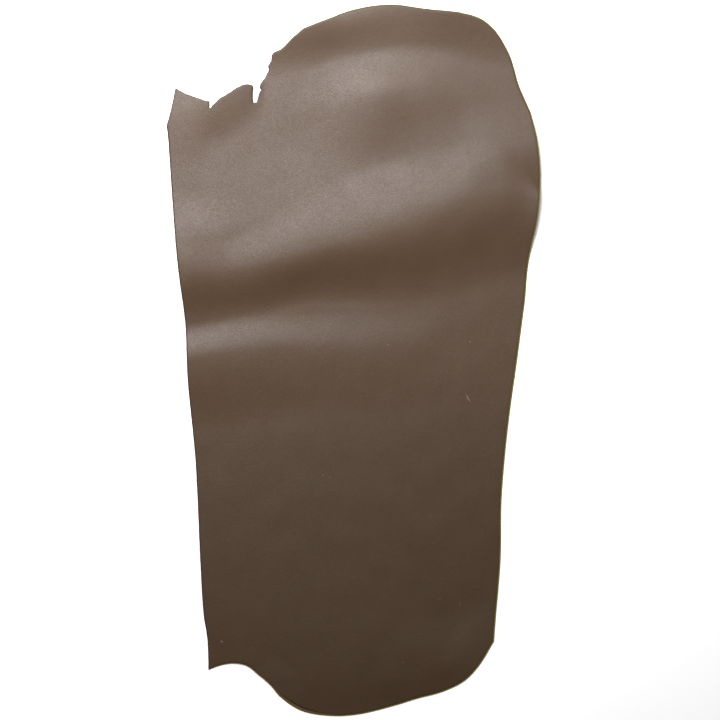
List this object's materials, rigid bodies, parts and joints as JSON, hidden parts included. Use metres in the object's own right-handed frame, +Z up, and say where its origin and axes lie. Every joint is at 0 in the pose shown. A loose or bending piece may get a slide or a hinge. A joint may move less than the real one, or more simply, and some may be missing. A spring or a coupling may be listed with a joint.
{
  "type": "leather hide",
  "caption": "Whole piece of smooth dark brown leather with a cut outline, a torn and notched corner and soft folds across one half, laid out grain side up.",
  "frame": {"origin": "under the middle of the hide's box, in the plane that the hide rests on", "axes": "+Y along the hide towards its neck end, +X towards its belly edge, +Z up out of the grain side"},
  "size_m": [0.7464, 1.4204, 0.0247],
  "materials": {
    "leather": "smooth semi-matte dark brown grain with an olive-tan cut edge and a suede-like flesh side"
  },
  "bodies": {
    "root": {"hide": "leather"}
  },
  "joints": []
}
